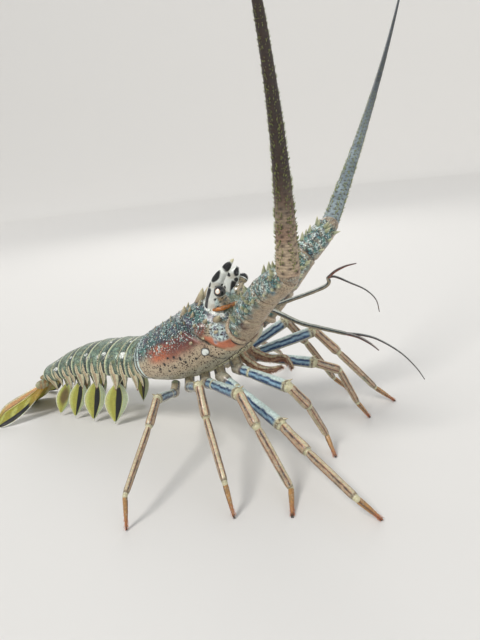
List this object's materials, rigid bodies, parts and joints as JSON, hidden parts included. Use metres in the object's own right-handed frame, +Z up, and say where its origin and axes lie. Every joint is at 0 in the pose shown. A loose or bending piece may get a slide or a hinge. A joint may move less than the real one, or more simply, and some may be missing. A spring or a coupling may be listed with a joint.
{
  "type": "spiny lobster model",
  "caption": "Life-size still model of a spiny lobster that stands on its leg tips and tail fan, with spiny antennae raised in a wide V.",
  "frame": {"origin": "middle of the box of the whole model, on the floor that the leg tips and tail fan stand on", "axes": "+X toward the head, +Y the animal's left side, +Z up"},
  "size_m": [0.3908, 0.56, 0.4604],
  "materials": {
    "carapace": "semi-gloss shell, rust red, blue-grey and cream mottled, with dark dots",
    "horn": "cream horn banded black",
    "eye": "glossy black eye with a pale ring",
    "antenna": "blue-grey and white mottled shell, tan below, cream spines",
    "flagellum": "tan brown ringed lash that darkens upward",
    "antennule": "thin brown shell with pale lines",
    "mouthparts": "hairy reddish brown",
    "leg": "pinkish tan with blue and dark stripes and orange tips",
    "abdomen": "grey-green shell with cream bands and white spots",
    "tail_fan": "olive yellow leathery blade with a black band and white edge",
    "swimmeret": "yellow-green leaf with a black band and cream edge"
  },
  "bodies": {
    "root": {"cephalothorax": "carapace", "horn_right": "horn", "eye_right": "eye", "antenna_right_1": "antenna", "antenna_right_2": "antenna", "antenna_right_3": "antenna", "flagellum_right_1": "flagellum", "flagellum_right_2": "flagellum", "antennule_right": "antennule", "antennule_lashes_right": "antennule", "maxilliped_right": "mouthparts", "leg_right_1_upper": "leg", "leg_right_1_lower": "leg", "leg_right_2_upper": "leg", "leg_right_2_lower": "leg", "leg_right_3_upper": "leg", "leg_right_3_lower": "leg", "leg_right_4_upper": "leg", "leg_right_4_lower": "leg", "leg_right_5_upper": "leg", "leg_right_5_lower": "leg", "swimmeret_right_2": "swimmeret", "swimmeret_right_3": "swimmeret", "swimmeret_right_4": "swimmeret", "swimmeret_right_5": "swimmeret", "uropod_right_inner": "tail_fan", "uropod_right_outer": "tail_fan", "horn_left": "horn", "eye_left": "eye", "antenna_left_1": "antenna", "antenna_left_2": "antenna", "antenna_left_3": "antenna", "flagellum_left_1": "flagellum", "flagellum_left_2": "flagellum", "antennule_left": "antennule", "antennule_lashes_left": "antennule", "maxilliped_left": "mouthparts", "leg_left_1_upper": "leg", "leg_left_1_lower": "leg", "leg_left_2_upper": "leg", "leg_left_2_lower": "leg", "leg_left_3_upper": "leg", "leg_left_3_lower": "leg", "leg_left_4_upper": "leg", "leg_left_4_lower": "leg", "leg_left_5_upper": "leg", "leg_left_5_lower": "leg", "swimmeret_left_2": "swimmeret", "swimmeret_left_3": "swimmeret", "swimmeret_left_4": "swimmeret", "swimmeret_left_5": "swimmeret", "uropod_left_inner": "tail_fan", "uropod_left_outer": "tail_fan", "abdomen_1": "abdomen", "abdomen_2": "abdomen", "abdomen_3": "abdomen", "abdomen_4": "abdomen", "abdomen_5": "abdomen", "abdomen_6": "abdomen", "telson": "tail_fan"}
  },
  "joints": []
}
